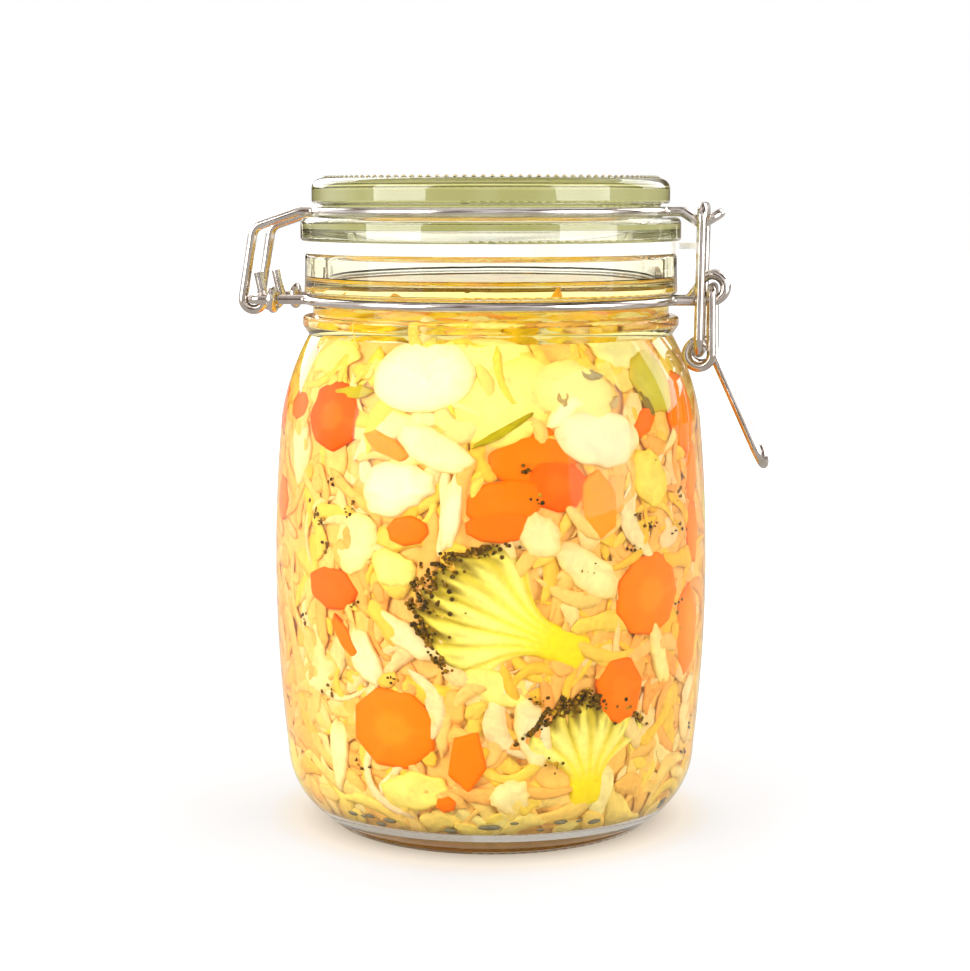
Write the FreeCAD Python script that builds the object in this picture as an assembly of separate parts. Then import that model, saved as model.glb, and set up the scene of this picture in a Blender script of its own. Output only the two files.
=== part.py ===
import FreeCAD, Part
import math
import os

# A one-litre glass preserving jar with a clip-top lid, filled to just below its mouth.
# Millimetres. The origin is the centre of the base, +Z up. +X points to the clip, -X to the hinge.
# Every radius of the glass and of the rings is about the Z axis.

# ---- Jar, from the foot up ----
BODY_R = 56.0               # widest radius of the belly
BELLY_Z = 60.0              # height where the belly is widest
HEEL_TOP_IN = 2.7           # the belly's inset where the heel's curve meets it
HEEL_TOP_Z = 19.0
HEEL_BASE_IN = 11.6         # the same where that curve meets the foot
HEEL_BULGE = 2.3
SHOULDER_IN = 1.9           # and where the shoulder's curve meets it
SHOULDER_H = 21.0           # from there up to the neck
SHOULDER_BULGE = 1.0
WALL = 3.6                  # glass of the belly and shoulder
FOOT_R = 42.2               # ring that the jar stands on
FOOT_WIDTH = 3.6
FOOT_H = 2.2
FOOT_ROUND = 0.5
PUNT_RISE = 3.6             # hollow under the base
PUNT_BULGE = 0.6
FLOOR = 5.2                 # glass over the middle of that hollow
FLOOR_BULGE = 0.5
FLAT_R = 4.0                # flat in the middle of the hollow and of the floor
NECK_IN_DOWN = 1.0          # inside of the neck and shoulder below their outside
HEEL_IN_UP = 1.0            # and inside of the heel above it

# ---- Neck ----
NECK_Z = 126.4              # underside of the bead
NECK_R = 46.8               # below the bead
MOUTH_R = 42.4              # the opening itself
BEAD_PROUD = 1.6
BEAD_H = 4.8
SEAT_DEPTH = 1.0            # the neck wire's groove, in from the neck
SEAT_H = 5.6
FINISH_PROUD = 1.2          # glass between the groove and the rim
FINISH_DRAFT = 0.3
RIM_H = 20.8                # flat rim above the bead's underside
RIM_ROUND = 1.2
GLASS_ROUND = 0.8           # other small rounds of the glass

# ---- Filling ----
HEADSPACE = 7.2             # from the brine's level up to the rim
FILL_GAP = 0.05             # between the filling and the glass

# ---- Seal ----
SEAL_H = 3.0
SEAL_OVER = 0.2             # seal past the neck's glass
SEAL_WIDTH = 6.2
TAB_OUT = 16.0              # pull tab past the neck's glass
TAB_WIDTH = 12.0
TAB_H = 1.6
TAB_ANGLE = 21.0            # round from the clip, in degrees

# ---- Lid ----
FLANGE_OVER = 0.8           # flange past the neck's glass
FLANGE_H = 6.0
FLANGE_ROUND = 1.6
GROOVE_DEPTH = 5.4          # lid wire's groove, in from the flange
GROOVE_H = 3.4
DOME_IN = 2.9               # raised disc, in from the flange
DOME_H = 6.4
DOME_ROUND = 2.8
DISH_R = 37.0               # shallow dish in the top of the disc
DISH_DEPTH = 0.9
RIB_GAP = 0.5               # between the lid's ring and the hole of the seal
RIB_WIDTH = 2.2
RIB_LIFT = 0.3              # ring's foot above the plane of the rim
LID_HOLLOW = 3.0            # lid's underside above its flange's
KNOBS = 120                 # small glass knobs round the rim of the disc
KNOB_R = 0.7
KNOB_IN = 3.3               # in from the edge of the disc
KNOB_SUNK = 0.1

# ---- Wires ----
WIRE = 2.4                  # diameter of every wire
WIRE_GAP = 0.35             # between wires that pass each other
SEAT_GAP = 0.05             # between a wire and the glass it lies round
TURN_R = 2.2                # usual bend
NECK_WIRE_UP = 8.8          # neck wire above the bead's underside

HINGE_OUT = 12.5            # hinge bar past the neck's glass
HINGE_HALF = 12.4           # to the middle of the bar's legs
COLLAR_GAP = 0.75           # between the hooks and the curl of wire round each leg
COLLAR_BITE = 0.15
LID_WIRE_LIFT = 0.2         # under the lid wire's ring, in its groove
ARM_GAP = 0.6               # between the lid wire's arms and those legs
ARM_SPREAD = 0.3            # top of an arm, in from the bar
ARM_DROP = 4.0              # top of an arm below the lid wire
ARM_BEND = 3.4
ARM_ROOT = 0.5              # where an arm starts to fall, in from the flange's edge
HOOK_TAIL = 6.4
HOOK_LEAN = 12.0            # lean of the tail, in degrees

COIL_OUT = 9.0              # coil of the clip past the neck's glass
COIL_R = 3.3                # radius of its middle line
COIL_TURNS = 3
COIL_PITCH = 2.45
COIL_EXIT = 235.0           # heading of the wire that leaves it, in degrees
PIN_END = 1.4               # lever's pins end this far from the middle
EYE_DROP = 16.7             # lever's eyes below the coil
EYE_GAP = 0.21              # between the eyes and the shoulder
EYE_PLAY = 0.4              # round the link's bar in the eyes
HANDLE_HALF = 8.2           # to the middle of the grip's legs
HANDLE_OUT = 13.6           # tip of the grip past the coil
HANDLE_DROP = 44.6
HANDLE_STRAIGHT = 5.0       # before its legs spread
HANDLE_BEND = 5.0
BAR_RISE = 0.4              # link's lower bar above the middle of the eyes
LINK_IN = 2.4               # link's top bar, in from the coil
LINK_LIFT = 4.5             # and above the nose's lowest bend: room to swing over the tip
LINK_BEND = 3.6
NOSE_HALF = 3.1             # to the middle of the nose's two wires
NOSE_IN = 0.4               # lowest bend of the nose, in from the link
NOSE_DROP = 3.2
NOSE_RISE = 2.8
NOSE_REACH = 4.4            # tip of the nose past that bend
NOSE_BEND = 2.8

# ---- Places that follow from those ----
NECK_GLASS_R = NECK_R + FINISH_PROUD
SEAT_R = NECK_R - SEAT_DEPTH
RIM_Z = NECK_Z + RIM_H
FILL_Z = RIM_Z - HEADSPACE
FLANGE_Z = RIM_Z + SEAL_H
LID_R = NECK_GLASS_R + FLANGE_OVER
GROOVE_R = LID_R - GROOVE_DEPTH
DOME_R = LID_R - DOME_IN
GROOVE_Z = FLANGE_Z + FLANGE_H
DOME_Z = GROOVE_Z + GROOVE_H
LID_TOP_Z = DOME_Z + DOME_H
SEAL_R = NECK_GLASS_R + SEAL_OVER
SEAL_HOLE_R = SEAL_R - SEAL_WIDTH
R_WIRE = WIRE / 2
PASS = WIRE + WIRE_GAP      # middle to middle of two wires that pass each other
NECK_RING_R = SEAT_R + R_WIRE + SEAT_GAP
NECK_WIRE_Z = NECK_Z + NECK_WIRE_UP
LID_RING_R = GROOVE_R + R_WIRE + SEAT_GAP
LID_WIRE_Z = GROOVE_Z + R_WIRE + LID_WIRE_LIFT
HINGE_X = -(NECK_GLASS_R + HINGE_OUT)
COLLAR_IN = PASS + WIRE + COLLAR_GAP
ARM_HALF = HINGE_HALF - WIRE - ARM_GAP
TURNS = COIL_TURNS + COIL_EXIT / 360
COIL_HALF = COIL_PITCH * TURNS / 2
LEVER_HALF = COIL_HALF + PASS
LINK_HALF = LEVER_HALF + PASS
COIL_X = NECK_GLASS_R + COIL_OUT
COIL_Z = NECK_WIRE_Z + COIL_R
LINK_X = COIL_X - LINK_IN
EYE_Z = COIL_Z - EYE_DROP
BAR_Z = EYE_Z + BAR_RISE
EYE_R = WIRE + BAR_RISE + EYE_PLAY
LINK_Z = LID_WIRE_Z - NOSE_DROP + LINK_LIFT


def circle_through(p, q, bulge):
    """Centre and radius of the arc from p to q that bulges to the right of that direction."""
    dx = q[0] - p[0]
    dz = q[1] - p[1]
    chord = math.hypot(dx, dz)
    radius = (chord ** 2 / 4 + bulge ** 2) / (2 * bulge)
    back = (radius - bulge) / chord
    return (p[0] + q[0]) / 2 - back * dz, (p[1] + q[1]) / 2 + back * dx, radius


def beside_shoulder():
    """X of the lever's eyes, whose inner wires stand EYE_GAP clear of the jar's shoulder."""
    low = (BODY_R - SHOULDER_IN, NECK_Z - SHOULDER_H)
    across, up, radius = circle_through(low, (NECK_R, NECK_Z), SHOULDER_BULGE)
    apart = radius + EYE_GAP + EYE_R + R_WIRE
    out = across + math.sqrt(apart ** 2 - (EYE_Z - up) ** 2)
    return math.sqrt(out ** 2 - (LEVER_HALF - PASS) ** 2)


EYE_X = beside_shoulder()


def vec(x, y, z):
    return FreeCAD.Vector(x, y, z)


# ---------------------------------------------------------------- turned pieces

def bow(p, q, bulge):
    """Middle of an arc from p to q, set off to the right of that direction by bulge."""
    dx = q[0] - p[0]
    dz = q[1] - p[1]
    length = math.hypot(dx, dz)
    return ((p[0] + q[0]) / 2 + bulge * dz / length, (p[1] + q[1]) / 2 - bulge * dx / length)


def rounded(p, q, r, radius):
    """Start, middle and end of a round at q, between straight sides from p and to r."""
    back = (p - q).normalize()
    onward = (r - q).normalize()
    half = back.getAngle(onward) / 2
    cut = radius / math.tan(half)
    inward = (back + onward).normalize()
    return q + back * cut, q + inward * (radius / math.sin(half) - radius), q + onward * cut


def side(start, end, via):
    if via is None:
        return Part.LineSegment(start, end).toShape()
    return Part.Arc(start, vec(via[0], 0, via[1]), end).toShape()


def turned(corners):
    """Solid of revolution. A corner is (radius, height, round, via); via is a point of the arc
    that leaves the corner, or None for a straight side."""
    count = len(corners)
    places = [vec(c[0], 0, c[1]) for c in corners]
    ends = []
    for i in range(count):
        if corners[i][2] > 0:
            ends.append(rounded(places[i - 1], places[i], places[(i + 1) % count], corners[i][2]))
        else:
            ends.append((places[i], None, places[i]))
    edges = []
    for i in range(count):
        start, middle, end = ends[i]
        if middle is not None:
            edges.append(Part.Arc(start, middle, end).toShape())
        edges.append(side(end, ends[(i + 1) % count][0], corners[i][3]))
    return Part.Face(Part.Wire(edges)).revolve(vec(0, 0, 0), vec(0, 0, 1), 360)


def cavity(inset):
    """Corners of the jar's inside, from the mouth down to the axis, moved in by inset."""
    mouth = MOUTH_R - inset
    neck = (mouth, NECK_Z - NECK_IN_DOWN)
    shoulder = (BODY_R - SHOULDER_IN - WALL - inset, NECK_Z - SHOULDER_H - NECK_IN_DOWN)
    belly = (BODY_R - WALL - inset, BELLY_Z)
    heel = (BODY_R - HEEL_TOP_IN - WALL - inset, HEEL_TOP_Z + HEEL_IN_UP)
    floor = (BODY_R - HEEL_BASE_IN - WALL - inset, FOOT_H + WALL + inset)
    flat = (FLAT_R, PUNT_RISE + FLOOR + inset)
    return [
        (neck[0], neck[1], 0, bow(neck, shoulder, -SHOULDER_BULGE)),
        (shoulder[0], shoulder[1], 0, belly),
        (heel[0], heel[1], 0, bow(heel, floor, -HEEL_BULGE)),
        (floor[0], floor[1], 0, bow(floor, flat, FLOOR_BULGE)),
        (flat[0], flat[1], 0, None),
        (0.0, flat[1], 0, None),
    ]


def glass_jar():
    punt = (FLAT_R, PUNT_RISE)
    foot_in = (FOOT_R - FOOT_WIDTH, 0.0)
    heel = (BODY_R - HEEL_BASE_IN, FOOT_H)
    belly_low = (BODY_R - HEEL_TOP_IN, HEEL_TOP_Z)
    belly_high = (BODY_R - SHOULDER_IN, NECK_Z - SHOULDER_H)
    neck = (NECK_R, NECK_Z)
    bead_r = NECK_R + BEAD_PROUD
    bead_z = NECK_Z + BEAD_H
    finish_z = bead_z + SEAT_H
    corners = [
        (0.0, PUNT_RISE, 0, None),
        (punt[0], punt[1], 0, bow(punt, foot_in, -PUNT_BULGE)),
        (foot_in[0], foot_in[1], 0, None),
        (FOOT_R, 0.0, FOOT_ROUND, None),
        (FOOT_R, FOOT_H, 0, None),
        (heel[0], heel[1], 0, bow(heel, belly_low, HEEL_BULGE)),
        (belly_low[0], belly_low[1], 0, (BODY_R, BELLY_Z)),
        (belly_high[0], belly_high[1], 0, bow(belly_high, neck, SHOULDER_BULGE)),
        (neck[0], neck[1], 0, None),
        (bead_r, NECK_Z + BEAD_H / 2, GLASS_ROUND, None),
        (bead_r, bead_z, GLASS_ROUND, None),
        (SEAT_R, bead_z, GLASS_ROUND, None),
        (SEAT_R, finish_z, GLASS_ROUND, None),
        (NECK_GLASS_R, finish_z, GLASS_ROUND, None),
        (NECK_GLASS_R - FINISH_DRAFT, RIM_Z, RIM_ROUND, None),
        (MOUTH_R, RIM_Z, GLASS_ROUND, None),
    ]
    return turned(corners + cavity(0.0))


def contents():
    top = [(0.0, FILL_Z, 0, None), (MOUTH_R - FILL_GAP, FILL_Z, 0, None)]
    return turned(top + cavity(FILL_GAP))


def glass_lid():
    rib_r = SEAL_HOLE_R - RIB_GAP
    under = FLANGE_Z + LID_HOLLOW
    corners = [
        (0.0, under, 0, None),
        (rib_r - RIB_WIDTH - LID_HOLLOW / 2, under, GLASS_ROUND, None),
        (rib_r - RIB_WIDTH, RIM_Z + RIB_LIFT, GLASS_ROUND, None),
        (rib_r, RIM_Z + RIB_LIFT, GLASS_ROUND, None),
        (rib_r, FLANGE_Z, 0, None),
        (LID_R, FLANGE_Z, FLANGE_ROUND / 2, None),
        (LID_R, GROOVE_Z, FLANGE_ROUND, None),
        (GROOVE_R, GROOVE_Z, GLASS_ROUND, None),
        (GROOVE_R, DOME_Z, GLASS_ROUND, None),
        (DOME_R, DOME_Z, GLASS_ROUND, None),
        (DOME_R, LID_TOP_Z, DOME_ROUND, None),
        (DISH_R, LID_TOP_Z, 0, None),
        (DISH_R - 2 * DISH_DEPTH, LID_TOP_Z - DISH_DEPTH, 0, None),
        (0.0, LID_TOP_Z - DISH_DEPTH, 0, None),
    ]
    lid = turned(corners)
    knob = Part.makeSphere(KNOB_R, vec(DOME_R - KNOB_IN, 0, LID_TOP_Z - KNOB_SUNK), vec(0, 0, 1), 0, 90)
    knobs = []
    for i in range(KNOBS):
        one = knob.copy()
        one.rotate(vec(0, 0, 0), vec(0, 0, 1), 360 * i / KNOBS)
        knobs.append(one)
    return lid.fuse(knobs)


def gasket():
    ring = Part.makeCylinder(SEAL_R, SEAL_H).cut(Part.makeCylinder(SEAL_HOLE_R, SEAL_H))
    reach = NECK_GLASS_R + TAB_OUT - TAB_WIDTH / 2
    start = SEAL_R - SEAL_WIDTH / 2
    tab = Part.makeBox(reach - start, TAB_WIDTH, TAB_H, vec(start, -TAB_WIDTH / 2, 0))
    tab = tab.fuse(Part.makeCylinder(TAB_WIDTH / 2, TAB_H, vec(reach, 0, 0)))
    tab.translate(vec(0, 0, (SEAL_H - TAB_H) / 2))
    tab.rotate(vec(0, 0, 0), vec(0, 0, 1), TAB_ANGLE)
    seal = ring.fuse(tab).removeSplitter()
    seal.translate(vec(0, 0, RIM_Z))
    return seal


# ---------------------------------------------------------------- bent wire

def straight(p, q):
    return Part.LineSegment(p, q).toShape()


def bent(points):
    """Edges of a bent wire through (place, bend radius) points; the two ends have no bend."""
    edges = []
    here = points[0][0]
    for i in range(1, len(points) - 1):
        start, middle, end = rounded(points[i - 1][0], points[i][0], points[i + 1][0], points[i][1])
        edges.append(straight(here, start))
        edges.append(Part.Arc(start, middle, end).toShape())
        here = end
    edges.append(straight(here, points[-1][0]))
    return edges


def on_curl(x, z, radius, angle, y):
    return vec(x + radius * math.cos(angle), y, z + radius * math.sin(angle))


def curl(x, z, radius, first, last, place_y):
    """Arcs of a curl about a line along Y, from angle first to last; place_y gives y at a share."""
    count = max(2, round(abs(last - first) / (math.pi / 8)))
    edges = []
    for i in range(count):
        three = []
        for share in (i / count, (i + 0.5) / count, (i + 1) / count):
            angle = first + (last - first) * share
            three.append(on_curl(x, z, radius, angle, place_y(share)))
        edges.append(Part.Arc(*three).toShape())
    return edges


def touch(x, z, radius, px, pz, turn):
    """Angle where a line from (px, pz) touches a circle; turn is +1 or -1 for its two sides."""
    away = math.hypot(px - x, pz - z)
    return math.atan2(pz - z, px - x) + turn * math.acos(radius / away)


def off_ring(ring_r, z, px, py, ux, uy, bend):
    """Bend from a ring into the straight wire through (px, py) with heading (ux, uy) outwards.
    The wire lies on the -Y side and the ring comes round to it from -Y.
    Gives the bend's ring end, middle and outer end."""
    qx = px + bend * uy
    qy = py - bend * ux
    along = qx * ux + qy * uy
    reach = ring_r + bend
    step = -along + math.sqrt(along ** 2 - qx ** 2 - qy ** 2 + reach ** 2)
    centre = vec(qx + step * ux, qy + step * uy, z)
    outer = vec(px + step * ux, py + step * uy, z)
    axis = vec(0, 0, z)
    inner = axis + (centre - axis) * (ring_r / reach)
    middle = centre + ((outer - centre) + (inner - centre)).normalize() * bend
    return inner, middle, outer


def mirrored_y(points):
    return [vec(p.x, -p.y, p.z) for p in points]


def mirrored_x(points):
    return [vec(-p.x, p.y, p.z) for p in points]


def arc(points):
    return Part.Arc(*points).toShape()


def ring_arc(start, end, ring_r, middle_angle):
    """Arc of a ring from start to end by way of the given angle."""
    middle = vec(ring_r * math.cos(middle_angle), ring_r * math.sin(middle_angle), start.z)
    return Part.Arc(start, middle, end).toShape()


def rod(edges):
    """Round wire swept along edges that follow on from each other."""
    path = Part.Wire(edges)
    start = edges[0].valueAt(edges[0].FirstParameter)
    heading = edges[0].tangentAt(edges[0].FirstParameter)
    if (edges[0].Vertexes[0].Point - start).Length > 1e-6:
        heading = heading * -1
    profile = Part.Wire([Part.makeCircle(R_WIRE, start, heading)])
    return path.makePipeShell([profile], True, False)


def with_mirror(half):
    """Both halves of a wire that is the same on either side of the XZ plane."""
    other = half.mirror(vec(0, 0, 0), vec(0, 1, 0))
    return half.fuse(other)


def hinge_end():
    """Bend from the neck ring into the hinge's front leg: ring end, middle and outer end."""
    return mirrored_x(off_ring(NECK_RING_R, NECK_WIRE_Z, -HINGE_X, -HINGE_HALF, 1, 0, TURN_R))


def neck_wire():
    """One wire: hinge bar, both halves of the ring, and the coil that the clip turns in."""
    z = NECK_WIRE_Z
    half = COIL_HALF
    slope = COIL_PITCH / (2 * math.pi * COIL_R)
    flat = 1 / math.hypot(1, slope)

    front_leg = hinge_end()
    bar = bent([(vec(HINGE_X, 0, z), 0), (vec(HINGE_X, -HINGE_HALF, z), TURN_R), (front_leg[2], 0)])
    front_lead = off_ring(NECK_RING_R, z, COIL_X, -half, flat, flat * slope, TURN_R)
    coil_start = vec(COIL_X, -half, z)
    coil = curl(COIL_X, COIL_Z, COIL_R, -math.pi / 2, -math.pi / 2 + 2 * math.pi * TURNS,
                lambda share: half * (2 * share - 1))

    leaving = math.radians(COIL_EXIT)
    coil_end = on_curl(COIL_X, COIL_Z, COIL_R, leaving - math.pi / 2, half)
    fall = (coil_end.z - z) / -math.sin(leaving)
    knee = vec(coil_end.x + fall * math.cos(leaving), half + fall * slope, z)
    rear_lead = mirrored_y(off_ring(NECK_RING_R, z, knee.x, -knee.y, 1, 0, TURN_R))
    back = vec(0, NECK_RING_R, z)

    edges = bar + [arc(front_leg[::-1])]
    edges += [ring_arc(front_leg[0], front_lead[0], NECK_RING_R, -math.pi / 2), arc(front_lead)]
    edges += [straight(front_lead[2], coil_start)] + coil
    edges += bent([(coil_end, 0), (knee, TURN_R), (rear_lead[2], 0)])
    edges += [arc(rear_lead[::-1]), ring_arc(rear_lead[0], back, NECK_RING_R, math.pi / 4)]

    rear_leg = mirrored_y(front_leg)
    rest = [ring_arc(back, rear_leg[0], NECK_RING_R, 3 * math.pi / 4), arc(rear_leg)]
    rest += bent([(rear_leg[2], 0), (vec(HINGE_X, HINGE_HALF, z), TURN_R), (vec(HINGE_X, 0, z), 0)])

    wire = rod(edges).fuse(rod(rest))
    for y in (-HINGE_HALF, HINGE_HALF):
        place = vec(HINGE_X + COLLAR_IN, y, z)
        wire = wire.fuse(Part.makeTorus(WIRE - COLLAR_BITE, R_WIRE, place, vec(1, 0, 0)))
    return wire


def lid_wire():
    """One wire: hook, arm, half ring and half nose, and the same again behind."""
    z = LID_WIRE_Z
    hook_r = PASS
    top_x = HINGE_X + ARM_SPREAD
    top_z = z - ARM_DROP
    first = touch(HINGE_X, NECK_WIRE_Z, hook_r, top_x, top_z, 1)
    last = 2 * math.pi + math.radians(HOOK_LEAN)
    lean = math.radians(90 + HOOK_LEAN)
    tail_foot = on_curl(HINGE_X, NECK_WIRE_Z, hook_r, last, -ARM_HALF)
    tail_end = tail_foot + vec(math.cos(lean), 0, math.sin(lean)) * HOOK_TAIL
    hook = curl(HINGE_X, NECK_WIRE_Z, hook_r, last, first, lambda share: -ARM_HALF)
    arm_foot = on_curl(HINGE_X, NECK_WIRE_Z, hook_r, first, -ARM_HALF)
    root = vec(-(LID_R - ARM_ROOT), -ARM_HALF, z)
    on_ring = mirrored_x(off_ring(LID_RING_R, z, -root.x, -ARM_HALF, 1, 0, TURN_R))

    edges = [straight(tail_end, tail_foot)] + hook
    edges += bent([(arm_foot, 0), (vec(top_x, -ARM_HALF, top_z), ARM_BEND), (root, ARM_BEND),
                   (on_ring[2], 0)])
    nose = off_ring(LID_RING_R, z, LID_R, -NOSE_HALF, 1, 0, TURN_R)
    edges += [arc(on_ring[::-1]), ring_arc(on_ring[0], nose[0], LID_RING_R, -math.pi / 2)]
    edges += [arc(nose)]
    low = vec(LINK_X - NOSE_IN, -NOSE_HALF, z - NOSE_DROP)
    tip = low + vec(NOSE_REACH, 0, NOSE_RISE)
    edges += bent([(nose[2], 0), (vec(LID_R + ARM_ROOT, -NOSE_HALF, z), TURN_R), (low, TURN_R),
                   (tip, NOSE_BEND), (vec(tip.x, 0, tip.z), 0)])
    return with_mirror(rod(edges))


def lever():
    """One wire: pin, leg, eye and half grip, and the same again behind."""
    first = touch(EYE_X, EYE_Z, EYE_R, COIL_X, COIL_Z, -1)
    tip_x = COIL_X + HANDLE_OUT
    tip_z = COIL_Z - HANDLE_DROP
    last = touch(EYE_X, EYE_Z, EYE_R, tip_x, tip_z, 1) - 2 * math.pi
    inner = LEVER_HALF - PASS

    def eye_y(share):
        return -LEVER_HALF + PASS * (share - math.sin(2 * math.pi * share) / (2 * math.pi))

    leg_foot = on_curl(EYE_X, EYE_Z, EYE_R, first, -LEVER_HALF)
    grip_top = on_curl(EYE_X, EYE_Z, EYE_R, last, -inner)
    down = (vec(tip_x, -inner, tip_z) - grip_top).normalize()
    spread = grip_top + down * HANDLE_STRAIGHT
    corner = vec(tip_x, -HANDLE_HALF, tip_z)
    edges = bent([(vec(COIL_X, -PIN_END, COIL_Z), 0), (vec(COIL_X, -LEVER_HALF, COIL_Z), TURN_R),
                  (leg_foot, 0)])
    edges += curl(EYE_X, EYE_Z, EYE_R, first, last, eye_y)
    edges += bent([(grip_top, 0), (spread, HANDLE_BEND), (corner, HANDLE_BEND),
                   (vec(tip_x, 0, tip_z), 0)])
    return with_mirror(rod(edges))


def link():
    """Closed loop from the lever's eyes to over the lid wire's nose."""
    edges = bent([(vec(EYE_X, 0, BAR_Z), 0), (vec(EYE_X, -LINK_HALF, BAR_Z), LINK_BEND),
                  (vec(LINK_X, -LINK_HALF, LINK_Z), LINK_BEND), (vec(LINK_X, 0, LINK_Z), 0)])
    return with_mirror(rod(edges))


os.makedirs("parts", exist_ok=True)
PIECES = {
    "glass_jar": glass_jar(),
    "contents": contents(),
    "glass_lid": glass_lid(),
    "gasket": gasket(),
    "neck_wire": neck_wire(),
    "lid_wire": lid_wire(),
    "lever": lever(),
    "link": link(),
}
for node, shape in PIECES.items():
    shape.exportStep("parts/" + node + ".step")
    box = shape.BoundBox
    print(node, shape.ShapeType, "solids", len(shape.Solids), "valid", shape.isValid(),
          "cm3 %.2f" % (shape.Volume / 1000), "faces", len(shape.Faces),
          "x %.1f..%.1f y %.1f..%.1f z %.1f..%.1f" % (
              box.XMin, box.XMax, box.YMin, box.YMax, box.ZMin, box.ZMax))
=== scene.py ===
import math

import bpy
import numpy as np
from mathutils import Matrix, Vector


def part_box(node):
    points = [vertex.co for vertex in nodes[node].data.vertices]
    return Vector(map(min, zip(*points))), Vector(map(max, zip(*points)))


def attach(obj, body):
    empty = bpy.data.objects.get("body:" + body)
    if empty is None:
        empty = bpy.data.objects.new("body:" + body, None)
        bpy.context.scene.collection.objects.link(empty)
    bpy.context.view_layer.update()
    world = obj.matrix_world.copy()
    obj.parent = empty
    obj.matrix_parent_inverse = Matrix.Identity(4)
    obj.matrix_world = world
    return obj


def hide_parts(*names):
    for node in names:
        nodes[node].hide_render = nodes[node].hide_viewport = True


# A one-litre clip-top preserving jar of mixed pickled vegetables, in the order it is put together:
# jar, brine, vegetables, seal, lid, wires, and then the table, the light and the camera.
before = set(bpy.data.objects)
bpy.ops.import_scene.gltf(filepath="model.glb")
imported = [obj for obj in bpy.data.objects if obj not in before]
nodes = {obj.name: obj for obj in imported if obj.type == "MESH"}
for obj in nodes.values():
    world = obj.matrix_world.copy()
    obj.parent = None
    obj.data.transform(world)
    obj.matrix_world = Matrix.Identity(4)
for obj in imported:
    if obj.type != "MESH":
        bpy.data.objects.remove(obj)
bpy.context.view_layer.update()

# ---------------------------------------------------------------- the jar
# Pressed clear glass, cast in a two-part mould. It has a flat ring for a foot, a swelling belly,
# and a straight neck with a bead under the groove of the neck wire. Its faint tint only shows
# where light runs a long way in it, as in the foot.


def linear(colours):
    """Screen colours, 0 to 255, as linear light: each channel c from 0 to 1 goes to
    ((c + 0.055) / 1.055) ** 2.4, or c / 12.92 near black."""
    c = np.clip(np.asarray(colours, float) / 255, 0, 1)
    return np.where(c > 0.04045, ((c + 0.055) / 1.055) ** 2.4, c / 12.92)


def from_srgb(red, green, blue):
    """A screen colour as the linear red, green, blue and alpha that a socket takes."""
    return (*(float(v) for v in linear((red, green, blue))), 1.0)


def add_node(tree, kind, **values):
    """A shader node of that kind, with the named sockets and settings set."""
    node = tree.nodes.new(kind)
    for name, value in values.items():
        label = name.replace("_", " ")
        if label in node.inputs:
            node.inputs[label].default_value = value
        else:
            setattr(node, name, value)
    return node


def join(tree, *pairs):
    """Links each output socket to its input socket."""
    for start, end in pairs:
        tree.links.new(start, end)


def new_material(name):
    """A material with an empty tree, and its output node."""
    material = bpy.data.materials.new(name)
    material.use_nodes = True
    material.node_tree.nodes.clear()
    return material, material.node_tree, material.node_tree.nodes.new("ShaderNodeOutputMaterial")


def clear_glass(name, ior, lamp_colour, ripple, gloss=1.0, absorbs=None, density=0.0):
    """Smooth clear glass or liquid. Lamps shine straight through it in lamp_colour, a slow ripple
    moves its reflections, and absorbs at a density per metre tints its depth."""
    material, tree, out = new_material(name)
    shader = add_node(tree, "ShaderNodeBsdfPrincipled", Base_Color=(1, 1, 1, 1), Roughness=0.0,
                      IOR=ior, Transmission_Weight=1.0, Specular_Tint=(gloss, gloss, gloss, 1))
    coords = add_node(tree, "ShaderNodeTexCoord")
    waves = add_node(tree, "ShaderNodeTexNoise", Scale=38.0, Detail=1.0)
    bump = add_node(tree, "ShaderNodeBump", Strength=ripple, Distance=0.0006)
    lamps = add_node(tree, "ShaderNodeBsdfTransparent", Color=lamp_colour)
    path = add_node(tree, "ShaderNodeLightPath")
    mix = add_node(tree, "ShaderNodeMixShader")
    join(tree, (coords.outputs["Object"], waves.inputs["Vector"]),
         (waves.outputs["Fac"], bump.inputs["Height"]),
         (bump.outputs["Normal"], shader.inputs["Normal"]),
         (path.outputs["Is Shadow Ray"], mix.inputs[0]),
         (shader.outputs[0], mix.inputs[1]), (lamps.outputs[0], mix.inputs[2]),
         (mix.outputs[0], out.inputs["Surface"]))
    if absorbs:
        depth = add_node(tree, "ShaderNodeVolumeAbsorption", Color=absorbs, Density=density)
        join(tree, (depth.outputs[0], out.inputs["Volume"]))
    return material


def finish_node(node, material):
    """Gives a CAD node its finish in place of the plain one it came with."""
    nodes[node].data.materials.clear()
    nodes[node].data.materials.append(material)


GLASS_IOR = 1.5
jar_glass = clear_glass("jar glass", GLASS_IOR, (0.97, 0.97, 0.96, 1), 0.25, gloss=0.15,
                        absorbs=from_srgb(214, 222, 190), density=10.0)
finish_node("glass_jar", jar_glass)

# ---------------------------------------------------------------- the brine
# Clear, faintly golden pickling liquid up to 7 mm below the rim. It wets the glass, so its skin
# lies just inside the wall with no air between, and climbs a little at its edge.


def wall_profile():
    """Heights and radii, in metres, of the jar's inside, from the widest points of its filling."""
    points = np.array([v.co for v in nodes["contents"].data.vertices])
    radius = np.hypot(points[:, 0], points[:, 1])
    height = np.round(points[:, 2], 5)
    levels = np.unique(height)
    widest = np.array([radius[height == z].max() for z in levels])
    keep = widest > 0.03
    return levels[keep], widest[keep]


WALL_Z, WALL_R = wall_profile()
FLOOR_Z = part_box("contents")[0].z
LEVEL_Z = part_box("contents")[1].z


def wall_radius(z):
    """Inner radius of the jar at heights z."""
    return np.interp(z, WALL_Z, WALL_R)


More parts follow.
